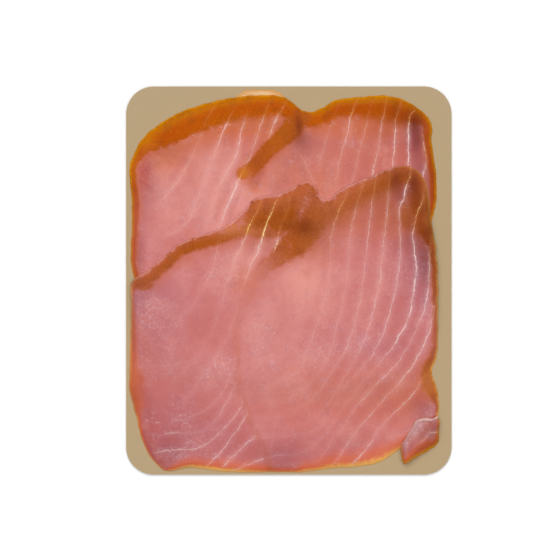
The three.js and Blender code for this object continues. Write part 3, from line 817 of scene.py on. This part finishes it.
class Graph:
    """A material's or modifier's node tree, with one method that adds any node."""

    def __init__(self, tree):
        self.tree = tree
        tree.nodes.clear()

    def node(self, kind, settings, inputs, output=0):
        node = self.tree.nodes.new(kind)
        for name, value in settings.items():
            setattr(node, name, value)
        for key, value in inputs.items():
            socket = self.find(node.inputs, key)
            if isinstance(value, Socket):
                self.tree.links.new(value.link, socket)
            else:
                socket.default_value = value
        return Socket(self, self.find(node.outputs, output)) if len(node.outputs) else None

    @staticmethod
    def find(sockets, key):
        if isinstance(key, int):
            return sockets[key]
        for socket in sockets:
            if socket.identifier == key:
                return socket
        return sockets[key]

    def noise(self, place, size, detail=2.0, roughness=0.5, distortion=0.0):
        """Noise between 0 and 1 with features of the given size in millimetres."""
        return self.node("ShaderNodeTexNoise", {}, {
            "Vector": place, "Scale": 1 / (size * MM), "Detail": detail, "Roughness": roughness,
            "Distortion": distortion})

    def fibre_noise(self, fibres, across, along, detail, distortion):
        """Noise stretched along or across the muscle lines, with features of these sizes in millimetres."""
        stretched = self.node("ShaderNodeVectorMath", {"operation": "MULTIPLY"}, {
            0: fibres, 1: (1 / across, 1 / along, 1.0)})
        return self.node("ShaderNodeTexNoise", {}, {
            "Vector": stretched, "Scale": 1.0, "Detail": detail, "Roughness": 0.55,
            "Distortion": distortion})

    def mix(self, under, over, share):
        """One colour laid over another."""
        return self.node("ShaderNodeMix", {"data_type": "RGBA", "clamp_factor": True}, {
            "Factor_Float": share, "A_Color": under, "B_Color": over}, "Result_Color")

    def blend(self, low, high, share):
        """A number between two others."""
        return self.node("ShaderNodeMix", {"data_type": "FLOAT", "clamp_factor": True}, {
            "Factor_Float": share, "A_Float": low, "B_Float": high}, "Result_Float")

    def vector(self, name):
        return self.node("ShaderNodeAttribute", {"attribute_name": name}, {}, "Vector")

    def fields(self, name):
        found = self.vector(name)
        return [found.part(axis) for axis in range(3)]

    def place(self):
        return self.node("ShaderNodeTexCoord", {}, {}, "Object")

    def bump(self, height, depth):
        """A normal for relief of the given depth in millimetres."""
        return self.node("ShaderNodeBump", {}, {
            "Height": height, "Strength": 1.0, "Distance": depth * MM}, "Normal")


def linear(level):
    level /= 255
    return level / 12.92 if level <= 0.04045 else ((level + 0.055) / 1.055) ** 2.4


def seen(levels, gloss):
    """The base colour that shows as these display levels under the studio light."""
    return tuple(max(linear(level) - gloss, 0.001) / LIGHT_LEVEL for level in levels) + (1.0,)


def new_material(name):
    material = bpy.data.materials.new(name)
    material.use_nodes = True
    return material, Graph(material.node_tree)


def finish_material(graph, inputs):
    shader = graph.node("ShaderNodeBsdfPrincipled", {}, inputs, "BSDF")
    graph.node("ShaderNodeOutputMaterial", {}, {"Surface": shader})


def smoked_fish(name, levels):
    """Moist cold smoked tuna: brown rim and crease, pink flesh in soft tints, pale muscle lines."""
    material, g = new_material(name)
    palette = {tint: seen(level, FISH_GLOSS) for tint, level in levels.items()}
    place = g.place()
    distance, width, smoke = g.fields("edge")
    gold, film_and_highlight, softness = g.fields("rim_tone")
    parting, crease, crease_strength = g.fields("middle")
    salmon, pale, glow = g.fields("warm")
    mauve, dusk, frost_and_sheen = g.fields("cool")
    amber, rose, smoke_patch = g.fields("smoky")

    def layered(colour, *layers):
        for tint, share in layers:
            colour = g.mix(colour, palette[tint], share)
        return colour

    broad = g.noise(place, 14, 3)
    cloudy = g.noise(place, 5, 3, 0.6)
    fine = g.noise(place, 1.6, 3, 0.65)
    grain = g.noise(place, 0.6, 2, 0.6)
    right_side = (parting + (cloudy - 0.5) * 1.5).smooth(-0.3, 0.3)

    # Muscle lines of the two lobes, which swap at the parting. They run a little crooked and in beads.
    def family(attribute):
        phase, gap, strength = g.fields(attribute)
        return ((phase + 0.5).fraction() - 0.5) * gap, strength

    left_off, left_strength = family("lines_left")
    right_off, right_strength = family("lines_right")
    strength = g.blend(left_strength, right_strength, right_side)
    crooked = (g.noise(place, 6, 2, 0.6) - 0.5) * 2.4 + (fine - 0.5) * 0.8
    off = abs(g.blend(left_off, right_off, right_side) + crooked)
    fibres = g.node("ShaderNodeMix", {"data_type": "VECTOR"}, {
        "Factor_Float": right_side, "A_Vector": g.vector("fibres_left"),
        "B_Vector": g.vector("fibres_right")}, "Result_Vector")
    whiskers = g.fibre_noise(fibres, 2, 0.5, 3, 1.4)
    streaks = g.fibre_noise(fibres, 0.7, 7, 3, 0.3)
    beads = g.noise(place, 2.2, 3, 0.7)
    swell = g.noise(place, 10, 2, 0.5)
    girth = 0.3 + strength * 0.28 + (beads - 0.5) * 0.3
    core = 1 - (off / girth).smooth(0.0, 1.0)
    near = 1 - off.smooth(0.2, 2.2)
    line = core * (strength * beads.smooth(0.2, 0.58) * (0.35 + 0.75 * swell.smooth(0.3, 0.6)))
    fuzz = near * (strength * 0.8) * whiskers.smooth(0.48, 0.72)
    line = (line + fuzz * 0.5 + near * strength * 0.1).clipped()

    flesh = layered(
        palette["flesh"], ("salmon", salmon), ("pale", pale), ("amber", amber * (0.7 + 0.6 * cloudy)),
        ("mauve", mauve), ("rose", rose * (0.6 + 0.8 * cloudy)), ("glow", glow * (0.6 + 0.8 * cloudy)),
        ("deep", off.smooth(0.8, 3.4) * (0.1 + 0.35 * strength)),
        ("deep", (0.52 - broad).smooth(0, 0.22) * 0.3), ("pale", (broad - 0.5).smooth(0, 0.25) * 0.35),
        ("mauve", (cloudy - 0.5).smooth(0, 0.25) * 0.2), ("deep", streaks.smooth(0.5, 0.8) * 0.16),
        ("deep", grain.smooth(0.5, 0.8) * 0.2), ("pale", (1 - grain.smooth(0.2, 0.5)) * 0.2))

    # A pale veil of fine wisps, thickest in the frost patches; a few of those patches are a painted sheen
    # and, on the rolled corner, a painted highlight.
    wisps = (1 - abs(g.noise(place, 4.2, 4, 0.62, 1.4) - 0.5) * 16).clipped()
    arcs = (1 - abs(g.noise(place, 9, 3, 0.55, 1.6) - 0.5) * 26).clipped()
    arcs = arcs * (cloudy * fine).smooth(0.26, 0.36)
    veil_and_sheen = broad.smooth(0.42, 0.62) * 0.3 + frost_and_sheen
    hairs = whiskers.smooth(0.52, 0.74) * 0.3 + wisps * 0.5 * fine.smooth(0.35, 0.6)

    # Where the rim, the crease and the smoky patches lie, and the film that a thin edge leaves over them.
    shift = (cloudy - 0.5) * 0.3 + (fine - 0.5) * 0.22 + (grain - 0.5) * 0.12
    rim = distance / width + shift
    film_width = (film_and_highlight * (1.2 + (cloudy - 0.5) * 7 + (fine - 0.5) * 4 + (whiskers - 0.5) * 3)).larger(0.0)
    filmed = (1 - ((distance - film_width) / 0.6).smooth(-0.8, 0.8)) * (film_and_highlight * 2).clipped()
    in_rim = 1 - ((rim - 0.96) / (0.05 + softness * 0.36)).smooth(-1, 1)
    in_crease = (1 - (crease + shift * 2.6).smooth(0.7, 1.2)) * crease_strength
    in_patch = (smoke_patch + shift * 1.2).smooth(0.25, 0.6)
    smoked = (in_rim * smoke).larger(in_crease).larger(in_patch * 0.85)
    smoked = smoked * (1 - filmed * 0.92) * (1 - frost_and_sheen * (0.4 + 0.6 * hairs.smooth(0.1, 0.4)) * 0.8)
    halo = ((1 - rim.smooth(0.9, 1.9)) * smoke).larger((1 - crease.smooth(0.8, 2)) * crease_strength)
    # Over the flesh: the veil with its painted sheen; a warm halo by the rim; the colour of a thin film
    # edge, which on the rolled corner is a painted lilac highlight; a painted light that lifts the outermost
    # film edge against its contact shade; the orange and golden crust of a cut edge.
    flesh = layered(
        flesh, ("frost_and_sheen", (veil_and_sheen * hairs + frost_and_sheen * 0.16 + arcs * (0.16 + frost_and_sheen * 0.5)).clipped()),
        ("warm_halo", halo * 0.65), ("film_and_highlight", filmed * (1 - pale) * 0.8),
        ("pale", film_and_highlight * (1 - distance.smooth(0.1, 1.4)) * 0.9),
        ("glow", (1 - rim.smooth(0.3, 1.5)) * (1 - smoke) * (1 - film_and_highlight) * 0.8),
        ("crust_gold_and_edge_light", (1 - (rim + (fine - 0.5) * 0.3).smooth(0.02, 0.5)) * gold))

    bright = streaks.smooth(0.5, 0.75) * 0.16 + fine.smooth(0.55, 0.8) * 0.3 + amber * 0.3 + glow * 0.8
    brown = layered(
        palette["rim_edge"], ("rim_brown", rim.smooth(0.08, 0.55)), ("rim_inner", rim.smooth(0.7, 1.05)),
        ("rim_gold", (1 - rim.smooth(0.06, 0.4)) * gold), ("crease", in_crease * 0.75),
        ("dusk", (0.52 - cloudy).smooth(0, 0.2) * 0.26),
        ("flesh", (cloudy * fine).smooth(0.3, 0.44) * in_crease * 0.3),
        ("rim_light", bright.clipped()), ("umber", (0.5 - grain).smooth(0.02, 0.2) * 0.22),
        ("rim_light", (grain - 0.5).smooth(0.04, 0.22) * 0.3))

    # The brown over the flesh, the golden crust of the cut, a painted light on the outermost millimetre of
    # edges without film that lifts them against their contact shade, dark patches, and the muscle lines over
    # all.
    gilt = (1 - distance.smooth(0.2, 1.6)) * gold * (fine * 0.6 + cloudy * 0.4).smooth(0.42, 0.56)
    colour = layered(
        g.mix(flesh, brown, smoked), ("crust_gold_and_edge_light", gilt * 0.8),
        ("crust_gold_and_edge_light", (1 - distance.smooth(0.1, 1)) * (1 - film_and_highlight) * 0.3))
    shade = g.mix(palette["dusk"], palette["umber"], smoked * (1 - rose))
    colour = g.mix(colour, shade, dusk * (0.7 + 0.6 * cloudy))
    golden = g.mix(palette["golden_line"], palette["bright_line"], (line - 0.4).smooth(0, 0.5))
    line_colour = g.mix(palette["line"], golden, (smoked * 0.9 + glow * 0.8).clipped())
    specks = (1 - abs(rim - 1.06) * 5).clipped() * whiskers.smooth(0.54, 0.7) * smoke * (1 - film_and_highlight)
    colour = layered(
        g.mix(colour, line_colour, line), ("line", specks.clipped() * cloudy.smooth(0.5, 0.62) * 0.6))

    roughness = (0.42 + (grain - 0.5) * 0.3 + smoked * 0.08 - line * 0.05).clipped()
    relief = fine * 0.5 + grain * 0.35 + cloudy * 0.8 - line * 0.5
    finish_material(g, {
        "Base Color": colour, "Roughness": roughness, "Normal": g.bump(relief, FISH_RELIEF),
        "Specular IOR Level": 0.03, "Coat Weight": (1 - smoked) * 0.3, "Coat Roughness": 0.16,
    })
    return material


def card_board():
    """Coated board: a smooth tan face with the faintest mottle."""
    material, g = new_material("coated_card")
    mottle = g.noise(g.place(), 6, 3, 0.6)
    fibre = g.noise(g.place(), 0.5, 2, 0.6)
    tan, light_tan, dark_tan = (seen(levels, CARD_GLOSS) for levels in CARD_COLOURS)
    colour = g.mix(g.mix(tan, light_tan, mottle), dark_tan, fibre.smooth(0.5, 0.8) * 0.25)
    finish_material(g, {
        "Base Color": colour, "Roughness": 0.5 + (fibre - 0.5) * 0.12,
        "Normal": g.bump(fibre, CARD_RELIEF), "Specular IOR Level": 0.3,
    })
    return material


def studio_floor():
    material, g = new_material("studio_floor")
    grey, light_grey = ((tone, tone, tone, 1) for tone in FLOOR_TONES)
    finish_material(g, {
        "Base Color": g.mix(grey, light_grey, g.noise(g.place(), 120, 2)), "Roughness": 0.9,
        "Specular IOR Level": 0.1,
    })
    return material


def backing_card(material):
    """The card as a Geometry Nodes tree: a filled rounded rectangle raised to its thickness."""
    tree = bpy.data.node_groups.new("rounded_card", "GeometryNodeTree")
    g = Graph(tree)
    sizes = {
        "Width": CARD_WIDTH, "Length": CARD_LENGTH, "Corner radius": CARD_CORNER_RADIUS,
        "Thickness": CARD_THICKNESS,
    }
    tree.interface.new_socket("Geometry", in_out="INPUT", socket_type="NodeSocketGeometry")
    for name, size in sizes.items():
        socket = tree.interface.new_socket(name, in_out="INPUT", socket_type="NodeSocketFloat")
        socket.default_value = size * MM
    tree.interface.new_socket("Geometry", in_out="OUTPUT", socket_type="NodeSocketGeometry")
    width, length, radius, thickness = (g.node("NodeGroupInput", {}, {}, name) for name in sizes)
    edge = g.node("GeometryNodeCurvePrimitiveQuadrilateral", {"mode": "RECTANGLE"}, {
        "Width": width, "Height": length}, "Curve")
    edge = g.node("GeometryNodeFilletCurve", {"mode": "POLY"}, {
        "Curve": edge, "Radius": radius, "Count": CARD_CORNER_STEPS}, "Curve")
    face = g.node("GeometryNodeFillCurve", {"mode": "NGONS"}, {"Curve": edge}, "Mesh")
    raised = g.node("GeometryNodeExtrudeMesh", {"mode": "FACES"}, {
        "Mesh": face, "Offset Scale": thickness, "Individual": False}, "Mesh")
    base = g.node("GeometryNodeFlipFaces", {}, {"Mesh": face}, "Mesh")
    join = tree.nodes.new("GeometryNodeJoinGeometry")
    for part in (base, raised):
        tree.links.new(part.link, join.inputs["Geometry"])
    closed = g.node("GeometryNodeMergeByDistance", {}, {
        "Geometry": Socket(g, join.outputs["Geometry"]), "Distance": WELD_DISTANCE}, "Geometry")
    real = g.node("GeometryNodeRealizeInstances", {}, {"Geometry": closed}, "Geometry")
    done = g.node("GeometryNodeSetMaterial", {}, {"Geometry": real, "Material": material}, "Geometry")
    out = tree.nodes.new("NodeGroupOutput")
    tree.links.new(done.link, out.inputs["Geometry"])

    maker = bpy.data.objects.new("card_maker", bpy.data.meshes.new("card_maker"))
    bpy.context.collection.objects.link(maker)
    modifier = maker.modifiers.new("card", "NODES")
    modifier.node_group = tree
    for item in tree.interface.items_tree:
        if item.in_out == "INPUT" and item.name in sizes:
            modifier[item.identifier] = sizes[item.name] * MM
    evaluated = maker.evaluated_get(bpy.context.evaluated_depsgraph_get())
    mesh = bpy.data.meshes.new_from_object(evaluated)
    mesh.name = "tan_card"
    piece = bpy.data.objects.new("tan_card", mesh)
    bpy.context.collection.objects.link(piece)
    bpy.data.objects.remove(maker)
    return piece


# Build the pieces.

scrap_outline = uneven_outline(SCRAP_OUTLINE, SCRAP_POINTS, SCRAP_CUT_SEED)
upper_outline = uneven_outline(UPPER_SLICE_OUTLINE, SLICE_POINTS, UPPER_CUT_SEED)
lower_outline = uneven_outline(LOWER_SLICE_OUTLINE, SLICE_POINTS, LOWER_CUT_SEED)
corner_outline = uneven_outline(CORNER_OUTLINE, CORNER_POINTS, CORNER_CUT_SEED)

upper_thickness = sliced_thickness(UPPER_CREASE, UPPER_RELIEF_SEED)
lower_thickness = sliced_thickness(LOWER_CREASE, LOWER_RELIEF_SEED)
upper_underside = lying_over(scrap_outline, on_the_card, scrap_thickness, SCRAP_DRAPE_RUN)
lower_underside = lying_over(upper_outline, upper_underside, upper_thickness, DRAPE_RUN)
corner_underside = lying_over(lower_outline, lower_underside, lower_thickness, CORNER_DRAPE_RUN)

card = backing_card(card_board())
scrap = fish_sheet(
    "pale_scrap", scrap_outline, SCRAP_HUB, on_the_card, scrap_thickness, SCRAP_RING_GAP,
    SCRAP_RIM, SCRAP_LINES, SCRAP_TINTS)
upper = fish_sheet(
    "upper_tuna_slice", upper_outline, UPPER_HUB, upper_underside, upper_thickness, SLICE_RING_GAP,
    UPPER_RIM, UPPER_LEFT_LINES, UPPER_TINTS, UPPER_RIGHT_LINES, UPPER_SMOKE, UPPER_PARTING,
    below=top_of(scrap_outline, on_the_card, scrap_thickness))
lower = fish_sheet(
    "lower_tuna_slice", lower_outline, LOWER_HUB, lower_underside, lower_thickness, SLICE_RING_GAP,
    LOWER_RIM, LOWER_LEFT_LINES, LOWER_TINTS, LOWER_RIGHT_LINES, LOWER_SMOKE, LOWER_PARTING,
    below=top_of(upper_outline, upper_underside, upper_thickness))
corner = fish_sheet(
    "rolled_corner", corner_outline, CORNER_HUB, corner_underside, rolled_thickness, CORNER_RING_GAP,
    CORNER_RIM, CORNER_LINES, CORNER_TINTS,
    below=top_of(lower_outline, lower_underside, lower_thickness))

scrap.data.materials.append(smoked_fish("pale_smoked_tuna", SCRAP_PALETTE))
upper.data.materials.append(smoked_fish("smoked_tuna_golden_rim", SMOKED_PALETTE))
lower.data.materials.append(smoked_fish("smoked_tuna_brown_rim", LOWER_PALETTE))
corner.data.materials.append(smoked_fish("smoked_tuna_corner", CORNER_PALETTE))

for piece, node, slot in (
    (card, "backing_card", "card_board"),
    (scrap, "top_scrap", "scrap_flesh"),
    (upper, "upper_slice", "upper_flesh"),
    (lower, "lower_slice", "lower_flesh"),
    (corner, "corner_piece", "corner_flesh"),
):
    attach(piece, "root")
    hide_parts(node)

# A pale studio floor, in metres, just under the card.
HALF_FLOOR = 1.5
FLOOR_HEIGHT = -0.0002
floor_mesh = bpy.data.meshes.new("floor")
floor_mesh.from_pydata(
    [(x * HALF_FLOOR, y * HALF_FLOOR, FLOOR_HEIGHT) for x, y in ((-1, -1), (1, -1), (1, 1), (-1, 1))],
    [], [(0, 1, 2, 3)])
floor = bpy.data.objects.new("floor", floor_mesh)
floor.data.materials.append(studio_floor())
bpy.context.collection.objects.link(floor)

# White surroundings, brightest in a broad ring high overhead and dim straight above, so that little of them
# mirrors in the fish as the camera sees it.
WALL_LEVEL = 0.25
RING_LEVEL = 1.6
ZENITH_LEVEL = 0.3
world = bpy.data.worlds.new("studio")
bpy.context.scene.world = world
world.use_nodes = True
surroundings = Graph(world.node_tree)
height = surroundings.node("ShaderNodeTexCoord", {}, {}, "Generated").part(2)
level = surroundings.blend(WALL_LEVEL, RING_LEVEL, height.smooth(0.6, 0.75))
level = surroundings.blend(level, ZENITH_LEVEL, height.smooth(0.95, 0.985))
background = surroundings.node("ShaderNodeBackground", {}, {
    "Color": (1, 1, 1, 1), "Strength": level}, "Background")
surroundings.node("ShaderNodeOutputWorld", {}, {"Surface": background})

# A broad soft light from past the top of the card.
KEY_ELEVATION = math.radians(50)
KEY_BREADTH = math.radians(25)
key = bpy.data.lights.new("key", "SUN")
key.energy = (LIGHT_LEVEL - SURROUND_LEVEL) * math.pi / math.sin(KEY_ELEVATION)
key.angle = KEY_BREADTH
key_object = bpy.data.objects.new("key", key)
key_object.rotation_euler = (-(math.pi / 2 - KEY_ELEVATION), 0, 0)
bpy.context.collection.objects.link(key_object)

# Camera straight above, framed as the photo is: the frame is 275.4 mm wide at the card.
FRAME_WIDTH = 275.4
CAMERA_HEIGHT = 2500
CARD_RIGHT_OF_FRAME = 4.35
FRAME_ABOVE_CARD = 0.25
camera = bpy.data.cameras.new("camera")
camera.sensor_width = 36
camera.lens = camera.sensor_width * (CAMERA_HEIGHT - CARD_THICKNESS) / FRAME_WIDTH
camera.clip_end = 20
camera_object = bpy.data.objects.new("camera", camera)
camera_object.location = (-CARD_RIGHT_OF_FRAME * MM, FRAME_ABOVE_CARD * MM, CAMERA_HEIGHT * MM)
bpy.context.collection.objects.link(camera_object)
bpy.context.scene.camera = camera_object
bpy.context.scene.view_settings.view_transform = "Standard"
bpy.context.scene.view_settings.look = "None"
